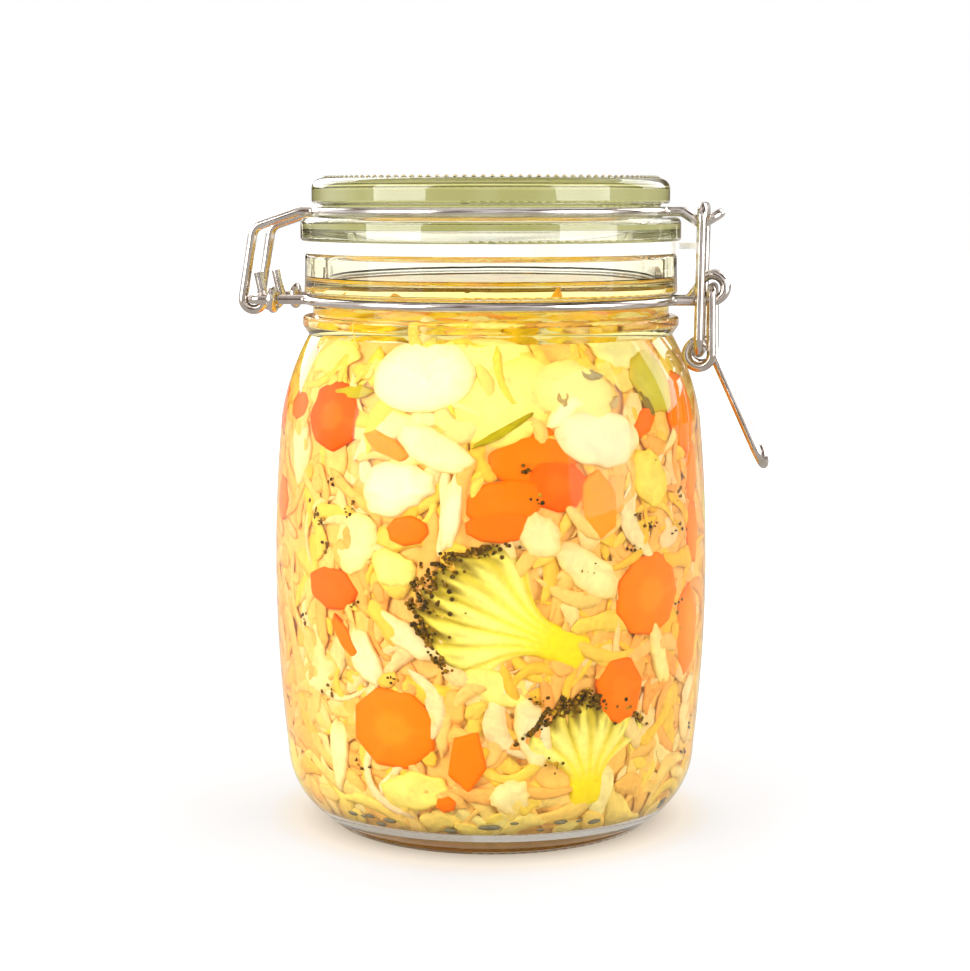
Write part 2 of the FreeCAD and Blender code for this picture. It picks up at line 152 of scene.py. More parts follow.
def mesh_piece(name, points, faces, material):
    """A smooth piece from arrays of points and faces, finished and riding on the jar."""
    mesh = bpy.data.meshes.new(name)
    mesh.from_pydata(points.tolist(), [], faces)
    mesh.polygons.foreach_set("use_smooth", np.ones(len(mesh.polygons), bool))
    mesh.materials.append(material)
    mesh.update()
    piece = bpy.data.objects.new(name, mesh)
    bpy.context.scene.collection.objects.link(piece)
    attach(piece, "jar")
    return piece


def grid_faces(rows, columns):
    """Quads of a grid of rows by columns, with its last column joined to the first."""
    row, column = np.meshgrid(np.arange(rows - 1), np.arange(columns), indexing="ij")
    after = (column + 1) % columns
    quads = [row * columns + column, row * columns + after, (row + 1) * columns + after,
             (row + 1) * columns + column]
    return np.stack(quads, -1).reshape(-1, 4)


def closed_faces(rows, columns):
    """The quads of a grid that is wrapped round an axis, and one face over each open end."""
    last = (rows - 1) * columns
    ends = [list(range(columns))[::-1], list(range(last, last + columns))]
    return grid_faces(rows, columns).tolist() + ends


def turned_piece(name, radius, height, material, steps=192):
    """Surface of revolution: the point (radius, height) of each profile row is carried round Z in
    equal steps. The first and last rows lie close to the axis and are closed by one face each."""
    angle = np.linspace(0, 2 * math.pi, steps, endpoint=False)
    points = np.stack([np.outer(radius, np.cos(angle)), np.outer(radius, np.sin(angle)),
                       np.outer(height, np.ones(steps))], -1).reshape(-1, 3)
    return mesh_piece(name, points, closed_faces(len(radius), steps), material)


INTO_WALL = 0.00012
FOOT_CLOSED, SKIN_CLOSED = 0.030, 0.002  # radii of the end faces
MENISCUS, MENISCUS_WIDE = 0.0011, 0.0032
WATER_IOR = 1.333
rise = np.linspace(0, 1, 10)
edge_r = wall_radius(LEVEL_Z) + INTO_WALL
brine_z = np.concatenate([[FLOOR_Z - INTO_WALL], WALL_Z[:-1], [LEVEL_Z - 0.0004],
                          LEVEL_Z + MENISCUS * (1 - rise) ** 3, [LEVEL_Z]])
brine_r = np.concatenate([[FOOT_CLOSED], WALL_R[:-1] + INTO_WALL, [edge_r],
                          edge_r - MENISCUS_WIDE * rise, [SKIN_CLOSED]])
brine_finish = clear_glass("brine", WATER_IOR, (0.98, 0.97, 0.93, 1), 0.12, gloss=0.0,
                           absorbs=(1.0, 0.87, 0.10, 1), density=17.0)
brine = turned_piece("brine", brine_r, brine_z, brine_finish)
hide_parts("contents")

# Above the level the wall is wet: a film of brine clings to it nearly up to the rim. Its section
# runs up the wall and back down inside, and its thickness varies by a product of waves.
FILM_TOP, FILM_THICK = 0.1465, 0.0003
FILM_UP, FILM_DOWN, FILM_ROUND = 8, 14, 240
film_finish = clear_glass("brine film", WATER_IOR, (0.98, 0.96, 0.9, 1), 0.3, gloss=0.3,
                          absorbs=(1.0, 0.86, 0.12, 1), density=330.0)
film_turn = np.linspace(0, 2 * math.pi, FILM_ROUND, endpoint=False)
film_z = np.concatenate([np.linspace(LEVEL_Z - 0.0002, FILM_TOP, FILM_UP),
                         np.linspace(FILM_TOP - 0.0001, LEVEL_Z - 0.0002, FILM_DOWN)])
film_z = film_z[:, None] + 0 * film_turn
film_deep = FILM_THICK + (0.00002 * np.cos(5 * film_turn + 90 * film_z)
                          * np.cos(3 * film_turn - 200 * film_z))
film_r = wall_radius(film_z) + 0.00008
film_r[FILM_UP:] -= 0.0001 + film_deep[FILM_UP:]
film_points = np.stack([film_r * np.cos(film_turn), film_r * np.sin(film_turn), film_z], -1)
film_last = (FILM_UP + FILM_DOWN - 1) * FILM_ROUND
film_faces = grid_faces(FILM_UP + FILM_DOWN, FILM_ROUND).tolist()
film_faces += [[film_last + i, film_last + (i + 1) % FILM_ROUND, (i + 1) % FILM_ROUND, i]
               for i in range(FILM_ROUND)]
film = mesh_piece("brine_film", film_points.reshape(-1, 3), film_faces, film_finish)

# ---------------------------------------------------------------- the packed core
# Finely shredded cabbage pressed together into one mass that fills the belly behind the pieces
# which show at the glass. It is peach and cream, with a soft relief of shreds.


def block(nx, ny, nz):
    """Surface of a box from -1 to 1 on each axis, cut into nx by ny by nz cells: its points, and
    its quads facing outward."""
    index = np.arange((nx + 1) * (ny + 1) * (nz + 1)).reshape(nx + 1, ny + 1, nz + 1)

    def skin(sheet, flip):
        quads = np.stack([sheet[:-1, :-1], sheet[1:, :-1], sheet[1:, 1:], sheet[:-1, 1:]], -1)
        quads = quads.reshape(-1, 4)
        return quads[:, ::-1] if flip else quads

    quads = np.concatenate([skin(index[:, :, -1], False), skin(index[:, :, 0], True),
                            skin(index[-1], False), skin(index[0], True),
                            skin(index[:, -1], True), skin(index[:, 0], False)])
    axes = [np.linspace(-1, 1, n + 1) for n in (nx, ny, nz)]
    points = np.stack(np.meshgrid(*axes, indexing="ij"), -1).reshape(-1, 3)
    used, quads = np.unique(quads, return_inverse=True)
    return points[used], quads.reshape(-1, 4)


def spread(low, high, count):
    """count random numbers from low to high."""
    return rng.uniform(low, high, count)


def phases(count):
    """count random angles in radians, from none to a whole turn."""
    return spread(0, 6.28, count)


def picked(share, count):
    """count random indices, each kind as often as its share says."""
    return rng.choice(len(share), count, p=share)


FOOD_LOW, FOOD_HIGH = FLOOR_Z + 0.0012, LEVEL_Z - 0.003


def against_wall(flat, azimuth, height, turn):
    """Lays pieces on the inside of the glass. flat (n, points, 3) holds lengths in millimetres
    round the jar, up, and inward from the wall, about each piece's middle. They are turned by turn
    degrees; a length round the jar becomes that length over the radius as an angle."""
    turn, azimuth, height = (np.radians(np.asarray(turn, float))[:, None],
                             np.radians(np.asarray(azimuth, float))[:, None],
                             np.asarray(height, float)[:, None])
    along = np.cos(turn) * flat[..., 0] - np.sin(turn) * flat[..., 1]
    z = (height + np.sin(turn) * flat[..., 0] + np.cos(turn) * flat[..., 1]) / 1000
    z = np.clip(z, FOOD_LOW, FOOD_HIGH)
    radius = wall_radius(z) - flat[..., 2] / 1000
    angle = azimuth + along / 1000 / wall_radius(height / 1000)
    return np.stack([radius * np.cos(angle), radius * np.sin(angle), z], -1)


def food_piece(name, points, quads, paint, material):
    """One piece of many alike: points (n, points, 3) share the quads, which are turned round
    because inward runs against them, and paint holds a colour for each point."""
    count, size = points.shape[:2]
    faces = (quads[None, :, ::-1] + (np.arange(count) * size)[:, None, None]).reshape(-1, 4)
    mesh = bpy.data.meshes.new(name)
    mesh.vertices.add(count * size)
    mesh.vertices.foreach_set("co", points.reshape(-1).astype(np.float32))
    mesh.loops.add(faces.size)
    mesh.loops.foreach_set("vertex_index", faces.reshape(-1).astype(np.int32))
    mesh.polygons.add(len(faces))
    mesh.polygons.foreach_set("loop_start", np.arange(0, faces.size, 4, dtype=np.int32))
    mesh.polygons.foreach_set("use_smooth", np.ones(len(faces), bool))
    mesh.update(calc_edges=True)
    layer = mesh.color_attributes.new("paint", "FLOAT_COLOR", "POINT")
    rgba = np.ones((count * size, 4), np.float32)
    rgba[:, :3] = np.clip(paint, 0, 1).reshape(-1, 3)
    layer.data.foreach_set("color", rgba.reshape(-1))
    mesh.materials.append(material)
    piece = bpy.data.objects.new(name, mesh)
    bpy.context.scene.collection.objects.link(piece)
    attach(piece, "jar")
    return piece


def mottle_group():
    """Node group: a painted colour, made lighter and darker in patches of a scale and shifted
    between peach and lemon by a slow noise, with the patches' height for a bump."""
    group = bpy.data.node_groups.new("Mottle", "ShaderNodeTree")
    for label, kind, value in (("Paint", "NodeSocketColor", (1, 1, 1, 1)),
                               ("Scale", "NodeSocketFloat", 300.0),
                               ("Depth", "NodeSocketFloat", 0.2),
                               ("Warmth", "NodeSocketFloat", 0.3)):
        group.interface.new_socket(label, in_out="INPUT", socket_type=kind).default_value = value
    for label, kind in (("Colour", "NodeSocketColor"), ("Height", "NodeSocketFloat")):
        group.interface.new_socket(label, in_out="OUTPUT", socket_type=kind)
    taken, given = group.nodes.new("NodeGroupInput"), group.nodes.new("NodeGroupOutput")
    coords = group.nodes.new("ShaderNodeTexCoord")
    fine = add_node(group, "ShaderNodeTexNoise", Detail=4.0, Roughness=0.62, Distortion=0.6)
    slow = add_node(group, "ShaderNodeTexNoise", Scale=42.0, Detail=2.0)
    shade = add_node(group, "ShaderNodeMapRange", From_Min=0.32, From_Max=0.68)
    less = add_node(group, "ShaderNodeMath", operation="SUBTRACT")
    less.inputs[0].default_value = 1.0
    darker = add_node(group, "ShaderNodeMix", data_type="RGBA", blend_type="MULTIPLY")
    darker.inputs[0].default_value = 1.0
    ramp = add_node(group, "ShaderNodeValToRGB")
    ramp.color_ramp.elements[0].position, ramp.color_ramp.elements[1].position = 0.36, 0.64
    ramp.color_ramp.elements[0].color = (1.0, 0.86, 0.72, 1)
    ramp.color_ramp.elements[1].color = (1.0, 0.98, 0.62, 1)
    tint = add_node(group, "ShaderNodeMix", data_type="RGBA", blend_type="MULTIPLY")
    join(group, (coords.outputs["Object"], fine.inputs["Vector"]),
         (coords.outputs["Object"], slow.inputs["Vector"]),
         (taken.outputs["Scale"], fine.inputs["Scale"]),
         (fine.outputs["Fac"], shade.inputs["Value"]),
         (taken.outputs["Depth"], less.inputs[1]), (less.outputs[0], shade.inputs["To Min"]),
         (taken.outputs["Paint"], darker.inputs[6]), (shade.outputs[0], darker.inputs[7]),
         (taken.outputs["Warmth"], tint.inputs[0]), (slow.outputs["Fac"], ramp.inputs[0]),
         (darker.outputs[2], tint.inputs[6]), (ramp.outputs[0], tint.inputs[7]),
         (tint.outputs[2], given.inputs["Colour"]), (fine.outputs["Fac"], given.inputs["Height"]))
    return group


mottle = mottle_group()


def food_material(name, scale, depth, warmth, bump, roughness=0.42, painted=True,
                  colour=(1, 1, 1, 1)):
    """Wet vegetable flesh: the piece's own paint through the mottle group."""
    material, tree, out = new_material(name)
    shader = add_node(tree, "ShaderNodeBsdfPrincipled", Roughness=roughness, IOR=1.38,
                      Specular_IOR_Level=0.1)
    group = add_node(tree, "ShaderNodeGroup", node_tree=mottle)
    group.inputs["Scale"].default_value = scale
    group.inputs["Depth"].default_value = depth
    group.inputs["Warmth"].default_value = warmth
    group.inputs["Paint"].default_value = colour
    relief = add_node(tree, "ShaderNodeBump", Strength=bump, Distance=0.0008)
    if painted:
        paint = add_node(tree, "ShaderNodeAttribute", attribute_name="paint")
        join(tree, (paint.outputs["Color"], group.inputs["Paint"]))
    join(tree, (group.outputs["Colour"], shader.inputs["Base Color"]),
         (group.outputs["Height"], relief.inputs["Height"]),
         (relief.outputs["Normal"], shader.inputs["Normal"]),
         (shader.outputs[0], out.inputs["Surface"]))
    return material


rng = np.random.default_rng(20)
CORE_TOP, CORE_FOOT, CORE_IN, CORE_RELIEF = 0.1275, FLOOR_Z + 0.0003, 0.0022, 0.0005
CORE_ROWS, CORE_ROUND = 90, 240
core_turn, core_up = np.meshgrid(np.linspace(0, 2 * math.pi, CORE_ROUND, endpoint=False),
                                 np.linspace(0, 1, CORE_ROWS), indexing="xy")


def waves(around, up, count, low, high):
    """A sum of random slanted waves over the angle round and the height, about -1 to 1."""
    total = np.zeros_like(around)
    for _ in range(count):
        turns = rng.integers(low, high)
        climb, phase = spread(-high, high, 1)[0], phases(1)[0]
        total += np.cos(turns * around + climb * up + phase)
    return total / math.sqrt(count)


core_z = CORE_FOOT + core_up * (CORE_TOP - CORE_FOOT)
core_r = wall_radius(core_z) - CORE_IN + CORE_RELIEF * waves(core_turn, core_up, 26, 5, 60)
core_r *= np.clip((1 - core_up) * 60 + 0.004, 0, 1) ** 0.5
core_points = np.stack([core_r * np.cos(core_turn), core_r * np.sin(core_turn), core_z], -1)
core = mesh_piece("packed_core", core_points.reshape(-1, 3), closed_faces(CORE_ROWS, CORE_ROUND),
                  food_material("packed cabbage", 420.0, 0.16, 0.7, 0.5, painted=False,
                                colour=from_srgb(255, 200, 112)))

# ---------------------------------------------------------------- cabbage shreds
# White cabbage cut into curved shreds 2 to 5 mm wide, thin and lens-shaped across, which lie every
# way against the glass. Their colour goes from white through cream and peach to lemon.
CREAMS = linear([(255, 236, 172), (255, 216, 128), (255, 196, 100), (255, 176, 84), (255, 222, 76),
                 (255, 214, 34), (250, 200, 14), (255, 246, 200)])
FIELD = [(rng.integers(1, 5), spread(-0.14, 0.14, 1)[0], phases(1)[0]) for _ in range(10)]


def field_tone(azimuth, height, own):
    """The colour of a shred or bit: its own, mixed with that of its place. A place is peach, cream
    or lemon by a sum of slow waves over the angle and the height. It is also peach round azimuth
    -156, cream at the foot and made lighter there as painted light against the shade low in the
    jar, and lemon near the top, by shares that fade out from there."""
    turn = np.radians(azimuth)
    place = sum(np.cos(n * turn + climb * height + phase) for n, climb, phase in FIELD) / 3.2
    peach, cream, lemon = linear([(255, 168, 90), (255, 204, 114), (255, 206, 30)])
    tone = np.where(place[:, None] < 0, cream + (peach - cream) * np.clip(-place, 0, 1)[:, None],
                    cream + (lemon - cream) * np.clip(place - 0.3, 0, 1)[:, None])
    tone = tone * 0.42 + own * 0.58
    side = 0.7 * np.exp(-((azimuth + 156) / 16) ** 2)[:, None]
    tone = tone * (1 - side) + linear((255, 176, 92)) * side
    # Painted light: near the foot the colour goes towards a lighter cream, to make up for the shade
    # that falls low in the jar.
    low = np.clip((17 - height) / 6, 0, 1)[:, None] * 0.5
    tone = tone * (1 - low) + linear((255, 236, 140)) * low
    top = np.clip((height - 102) / 16, 0, 1)[:, None] * 0.6
    return tone * (1 - top) + linear((252, 224, 92)) * top


CLEAR = np.array([  # azimuth, height, half round in degrees, half up
    (-70.0, 93.0, 16, 13), (-85.0, 62.0, 24, 14), (-55.0, 27.0, 14, 13)])


def out_of_the_way(azimuth, height):
    """Extra depth, in mm, for bits that would lie over the stack of carrots or the front florets:
    those whose middle is inside one of the ellipses of CLEAR."""
    off = (((azimuth[:, None] - CLEAR[:, 0]) / CLEAR[:, 2]) ** 2
           + ((height[:, None] - CLEAR[:, 1]) / CLEAR[:, 3]) ** 2)
    return np.where(off.min(1) < 1, 1.5, 0.0)


shred_shape, shred_quads = block(9, 3, 1)
SHREDS = 1050


def shred_field(count, height, low, high):
    """Shreds as points, and their azimuths. Each is a strip with tapered ends, bent by its length
    squared and by a wave; across, its thickness is the root of 1 less the width squared."""
    x, y, w = (shred_shape[None, :, i] for i in range(3))
    each = (count, 1)
    half, width, thick = spread(low, high, each), spread(0.9, 2.8, each), spread(0.25, 0.55, each)
    bend, wave, phase = spread(-0.09, 0.09, each), spread(0, 0.5, each), phases(each)
    taper = np.sqrt(np.clip(1.02 - np.abs(x) ** 8, 0, 1)) * (1 + 0.25 * np.sin(4 * x + phase))
    along = half * x
    up = width * y * taper + bend * along ** 2 + wave * np.sin(2.6 * x + phase)
    lens = np.sqrt(np.clip(1.02 - y ** 2, 0.1, 1))
    depth = spread(1.15, 2.3, each) + thick * w * lens * taper
    depth = depth + 0.25 * np.sin(2.2 * x + 2 * phase)
    flat = np.stack([np.broadcast_to(along, up.shape), up, np.maximum(depth, 0.6)], -1)
    azimuth = spread(-180, 180, count)
    flat[..., 2] += out_of_the_way(azimuth, height)[:, None]
    return against_wall(flat, azimuth, height, spread(-90, 90, count)), azimuth


SHRED_LOW, SHRED_SPAN = 9, 112
shred_height = SHRED_LOW + SHRED_SPAN * rng.random(SHREDS)
shreds, shred_azimuth = shred_field(SHREDS, shred_height, 4.5, 14.0)
shred_tone = CREAMS[picked((0.15, 0.17, 0.18, 0.16, 0.11, 0.10, 0.05, 0.08), SHREDS)]
shred_tone = field_tone(shred_azimuth, shred_height, shred_tone)
shred_paint = np.broadcast_to(shred_tone[:, None], (*shreds.shape[:2], 3))
food_piece("cabbage_shreds", shreds, shred_quads, shred_paint,
           food_material("cabbage flesh", 460.0, 0.20, 0.5, 0.5))

# ---------------------------------------------------------------- chunks and leaf slices
# Lumps of cauliflower and cabbage heart, and broad pale slices of leaf and root pressed flat on the
# glass: the biggest, near the top, are almost white.
disc_shape, disc_quads = block(20, 20, 3)
LEAST_IN = 0.22  # mm from the wall


def plates(shape, azimuth, height, half_round, half_up, thick, depth, turn, facets, ragged):
    """Flat pieces, with each point's distance and angle from the middle. The square of the block
    becomes a disc, x by the root of 1 - y squared / 2 and the same the other way; its edge has a
    number of facets and is ragged by some random waves."""
    count = len(azimuth)
    column = [np.asarray(v, float).reshape(-1, 1) * np.ones((count, 1))
              for v in (half_round, half_up, thick, depth, facets, ragged)]
    half_round, half_up, thick, depth, facets, ragged = column
    x, y, w = (shape[None, :, i] for i in range(3))
    disc_x, disc_y = x * np.sqrt(1 - y ** 2 / 2), y * np.sqrt(1 - x ** 2 / 2)
    angle, out = np.arctan2(disc_y, disc_x), np.hypot(disc_x, disc_y)
    each = (count, 1)
    phase = phases(each)
    sector = 2 * math.pi / facets
    edge = np.cos(sector / 2) / np.cos((angle + phase) % sector - sector / 2)
    for turns in (2, 3, 5, 9, 14):
        swing = ragged * spread(0.2, 1.0, each) * np.cos(turns * angle + phases(each))
        edge = edge * (1 + swing / turns ** 0.9)
    rounding = np.sqrt(np.clip(1.0 - (out * 0.985) ** 8, 0, 1))
    flat_x, flat_y = half_round * disc_x * edge, half_up * disc_y * edge
    warp = thick * ragged * np.sin(3 * disc_x + phase) * np.cos(2.5 * disc_y + 2 * phase)
    face = depth + thick / 2 + thick / 2 * w * rounding + warp
    flat = np.stack([flat_x, flat_y, np.maximum(face, LEAST_IN)], -1)
    return against_wall(flat, azimuth, height, np.asarray(turn, float) * np.ones(count)), out, angle


PALE = np.array([  # azimuth, height, half round, half up, turn, depth, ragged, red, green, blue
    (-102.1, 118.2, 13.0, 8.6, 4, 0.3, 0.02, 255, 253, 226),
    (-77.0, 112.5, 14.5, 9.2, 24, 0.9, 0.05, 255, 246, 160),
    (-84.0, 124.0, 13.0, 5.0, -8, 1.3, 0.08, 255, 246, 168),
    (-50.8, 103.6, 11.0, 7.6, -12, 0.3, 0.10, 255, 244, 224),
    (-107.6, 92.0, 10.5, 6.2, 6, 0.3, 0.14, 255, 246, 226),
    (-97.0, 101.5, 10.5, 4.8, -22, 0.5, 0.06, 255, 243, 214),
    (-92.0, 86.5, 2.8, 9.6, -6, 0.5, 0.08, 255, 240, 214),
    (-68.5, 81.0, 5.0, 6.2, 16, 0.3, 0.08, 255, 236, 190),
    (-138.0, 121.0, 9.5, 4.4, 12, 0.6, 0.10, 244, 240, 150),
    (-36.0, 123.0, 10.0, 4.8, -10, 0.8, 0.08, 255, 248, 190),
    (-33.5, 93.0, 6.0, 7.6, 30, 0.4, 0.12, 255, 238, 130),
    (-60.0, 110.0, 6.0, 2.6, 35, 0.3, 0.10, 255, 250, 214),
    (-80.0, 44.5, 9.0, 4.6, -18, 0.9, 0.10, 255, 240, 160),
    (-70.0, 33.0, 4.6, 9.0, 14, 0.8, 0.10, 255, 240, 206),
    (-117.0, 50.0, 4.0, 8.0, 28, 0.6, 0.10, 255, 238, 212),
    (-136.0, 44.0, 8.0, 6.0, 20, 0.8, 0.10, 255, 232, 190),
    (-129.0, 24.0, 3.4, 9.5, -8, 0.5, 0.10, 255, 236, 200),
    (-104.0, 17.5, 10.0, 4.6, 4, 0.5, 0.12, 255, 242, 150),
    (-120.0, 78.0, 8.0, 6.5, 30, 0.8, 0.12, 255, 246, 196),
    (-108.0, 72.5, 6.5, 4.4, -5, 0.4, 0.10, 255, 244, 160),
    (-55.0, 72.0, 9.5, 5.2, -38, 0.6, 0.10, 255, 240, 196),
    (-30.0, 49.0, 3.2, 8.5, 24, 0.4, 0.10, 255, 240, 180),
    (-146.0, 98.0, 5.0, 8.0, 10, 0.6, 0.12, 255, 232, 200),
    (-76.0, 17.0, 5.5, 4.4, 0, 0.5, 0.14, 255, 238, 196),
    (-27.0, 115.5, 8.0, 7.2, 20, 0.3, 0.10, 216, 208, 96),
    (-57.0, 114.5, 11.0, 7.4, -6, 0.5, 0.05, 254, 240, 176),
    (-50.5, 118.0, 3.2, 1.3, -15, 0.24, 0.15, 170, 156, 130),
    (-61.0, 113.0, 1.5, 2.4, 10, 0.24, 0.15, 186, 160, 112),
    (-44.5, 111.5, 2.2, 1.0, 30, 0.24, 0.15, 196, 170, 130),
    (-125.0, 113.5, 6.0, 1.6, 8, 0.3, 0.12, 196, 186, 60),
    (-78.0, 106.0, 9.0, 1.0, 28, 0.24, 0.10, 176, 168, 30),
    (-32.0, 110.5, 1.2, 4.2, 24, 0.24, 0.10, 150, 130, 70),
    (-106.0, 103.5, 12.4, 6.6, -20, 1.0, 0.10, 255, 246, 186),
    (-104.0, 56.0, 9.5, 4.0, -32, 0.8, 0.12, 255, 238, 200)])
count = 46
back = np.stack([spread(0, 200, count), spread(14, 122, count), spread(5, 12, count),
                 spread(4, 8.5, count), spread(-40, 40, count), spread(0.4, 1.4, count),
                 spread(0.06, 0.16, count), np.full(count, 255.0), spread(232, 248, count),
                 spread(130, 214, count)], -1)
PALE = np.concatenate([PALE, back])
PALE_THICK = 2.0
around, up, half_round, half_up, turn, depth, ragged = PALE[:, :7].T
sides = np.where(half_round > 12.5, 24, rng.integers(6, 12, len(PALE)))
pale, pale_out, _ = plates(disc_shape, around, up, half_round, half_up, PALE_THICK, depth, turn,
                           sides, ragged * 2.3)
pale_edge = np.array([0.0, 0.16, 0.42]) * pale_out[..., None] ** 4
pale_paint = linear(PALE[:, 7:10] - (0, 6, 26))[:, None] * (1.0 - pale_edge)
food_piece("pale_slices", pale, disc_quads, pale_paint,
           food_material("pale slices", 240.0, 0.22, 0.5, 0.4))

# Small torn bits of leaf and stalk fill the places between them.
BITS, BIT_THICK = 620, 0.6
bit_shape, bit_quads = block(6, 6, 1)
bit_azimuth, bit_height = spread(-180, 180, BITS), spread(7, 120.5, BITS)
bit_half = spread(2.4, 7.0, BITS)
bits, bit_out, _ = plates(bit_shape, bit_azimuth, bit_height, bit_half,
                          bit_half * spread(0.3, 0.8, BITS), BIT_THICK,
                          spread(0.9, 1.9, BITS) + out_of_the_way(bit_azimuth, bit_height),
                          spread(-90, 90, BITS), rng.integers(4, 9, BITS), spread(0.14, 0.30, BITS))
bit_tone = CREAMS[picked((0.13, 0.15, 0.15, 0.14, 0.12, 0.14, 0.09, 0.08), BITS)]
bit_tone = field_tone(bit_azimuth, bit_height, bit_tone)
golden = np.clip((bit_height - 118) / 4, 0, 1)[:, None]
bit_tone = bit_tone * (1 - 0.8 * golden) + linear((255, 204, 34)) * 0.8 * golden
bit_edge = np.array([0.0, 0.1, 0.25]) * bit_out[..., None] ** 4
food_piece("leaf_bits", bits, bit_quads, bit_tone[:, None] * (1 - bit_edge),
           food_material("leaf bits", 420.0, 0.20, 0.5, 0.5))

chunk_shape, chunk_quads = block(5, 5, 3)
chunk_unit = chunk_shape / np.linalg.norm(chunk_shape, axis=1, keepdims=True)
CHUNKS = 110


def lumps(count, low, high, knobbly):
    """Rounded lumps: a unit ball scaled three ways and swelled by random waves over its
    directions."""
    ball = np.broadcast_to(chunk_unit, (count, len(chunk_unit), 3))
    swell = np.ones((count, len(chunk_unit)))
    for power in (2, 3, 5, 8):
        way = rng.normal(size=(count, 1, 3))
        wave = np.sin(power * (ball * way).sum(-1) + phases((count, 1)))
        swell = swell + knobbly / power ** 0.5 * wave
    size = np.stack([spread(low, high, count), spread(low, high, count) * 0.8,
                     spread(1.2, 2.4, count)], -1)
    return ball * swell[..., None] * size[:, None]


chunk_flat = lumps(CHUNKS, 1.8, 4.6, 0.2)
chunk_flat[..., 2] = np.maximum(chunk_flat[..., 2] + spread(2.4, 3.8, (CHUNKS, 1)), 0.7)
chunk_height = spread(8, 124, CHUNKS)
chunk_azimuth = spread(-180, 180, CHUNKS)
chunk_tone = CREAMS[picked((0.24, 0.2, 0.14, 0.08, 0.12, 0.1, 0.05, 0.07), CHUNKS)]
chunk_tone = field_tone(chunk_azimuth, chunk_height, chunk_tone)
chunk_flat[..., 2] += out_of_the_way(chunk_azimuth, chunk_height)[:, None]
chunks = against_wall(chunk_flat, chunk_azimuth, chunk_height, spread(-90, 90, CHUNKS))
# On top of the core more lie flat under the brine: turned about the vertical, moved out by up to
# TOPS_OUT mm, and with their inward side down.
TOPS, TOPS_OUT = 150, 35.0
lump_x, lump_y, lump_in = np.moveaxis(lumps(TOPS, 3.0, 8.0, 0.24), -1, 0)
top_turn, top_round = phases((TOPS, 1)), phases((TOPS, 1))
top_away = TOPS_OUT * np.sqrt(rng.random((TOPS, 1)))
tops = np.stack([
    top_away * np.cos(top_round) + np.cos(top_turn) * lump_x - np.sin(top_turn) * lump_y,
    top_away * np.sin(top_round) + np.sin(top_turn) * lump_x + np.cos(top_turn) * lump_y,
    CORE_TOP * 1000 + spread(0.0, 1.6, (TOPS, 1)) - lump_in], -1) / 1000
chunks = np.concatenate([chunks, tops])
chunk_tone = np.concatenate([chunk_tone, CREAMS[rng.integers(0, 8, TOPS)]])
food_piece("cauliflower_chunks", chunks, chunk_quads,
           np.broadcast_to(chunk_tone[:, None], (*chunks.shape[:2], 3)),
           food_material("cauliflower", 900.0, 0.12, 0.25, 0.8))

# ---------------------------------------------------------------- carrots
# Peeled carrots cut across into slices 2 to 3 mm thick: a many-sided edge from the peeler, and a
# paler core with faint rays. Some are halves and sticks, and a few have slid into a stack.
# Each row: azimuth, height, half round, half up, turn, depth, facets, ragged, red, green, blue.
CARROT = np.array([
    (-131.0, 107.8, 10.0, 8.4, -8, 0.3, 8, 0.05, 255, 98, 0),
    (-150.0, 108.8, 5.6, 3.6, 0, 0.5, 7, 0.08, 255, 112, 10),
    (-111.1, 102.1, 7.4, 2.7, -24, 0.3, 6, 0.08, 255, 150, 28),
    (-103.9, 81.9, 5.8, 3.7, 4, 0.3, 8, 0.06, 255, 122, 10),
    (-67.5, 104.0, 5.2, 4.2, 10, 1.5, 9, 0.05, 255, 122, 4),
    (-70.0, 99.0, 11.5, 6.2, 4, 1.1, 12, 0.05, 255, 124, 2),
    (-63.5, 93.0, 8.0, 6.6, -12, 0.8, 10, 0.07, 255, 104, 0),
    (-77.7, 89.0, 10.0, 5.8, 8, 0.5, 9, 0.06, 255, 122, 2),
    (-79.0, 83.4, 8.6, 4.0, 2, 0.3, 10, 0.05, 255, 116, 0),
    (-51.4, 87.7, 5.4, 8.9, 12, 0.5, 6, 0.06, 255, 160, 40),
    (-34.0, 106.5, 5.2, 2.8, 38, 0.4, 6, 0.06, 255, 118, 8),
    (-14.0, 107.5, 7.6, 10.0, -14, 0.4, 8, 0.05, 255, 136, 4),
    (-11.5, 92.5, 4.2, 8.8, -6, 0.4, 6, 0.05, 255, 140, 4),
    (-12.0, 77.5, 4.0, 9.0, 4, 0.4, 6, 0.06, 255, 142, 4),
    (-128.8, 65.9, 9.0, 5.7, -6, 0.3, 7, 0.06, 255, 108, 0),
    (-124.0, 54.3, 7.0, 2.2, -52, 0.3, 6, 0.05, 255, 124, 10),
    (-109.1, 33.0, 11.8, 10.7, 0, 0.3, 8, 0.022, 255, 130, 0),
    (-88.0, 26.0, 5.0, 8.4, -5, 0.3, 5, 0.05, 255, 130, 0),
    (-94.3, 14.8, 2.8, 2.1, 8, 0.3, 6, 0.06, 255, 122, 10),
    (-34.5, 64.4, 11.2, 10.6, 6, 0.3, 9, 0.035, 255, 134, 0),
    (-44.3, 41.7, 7.3, 9.1, 8, 0.3, 7, 0.06, 255, 126, 0),
    (-15.0, 53.0, 7.0, 12.4, 4, 0.4, 6, 0.05, 255, 144, 6),
    (-158.0, 85.0, 4.5, 6.0, 10, 0.4, 7, 0.06, 255, 130, 30)])
count = 34
back = np.stack([spread(4, 196, count), spread(14, 112, count), spread(4, 11.5, count),
                 np.zeros(count), spread(-40, 40, count), spread(0.3, 1.4, count),
                 rng.integers(6, 12, count), spread(0.02, 0.07, count), np.full(count, 255.0),
                 spread(100, 150, count), spread(0, 30, count)], -1)
back[:, 3] = back[:, 2] * spread(0.5, 1.0, count)
CARROT = np.concatenate([CARROT, back])
CARROT_THICK = 2.4
around, up, half_round, half_up, turn, depth, sides, ragged = CARROT[:, :8].T
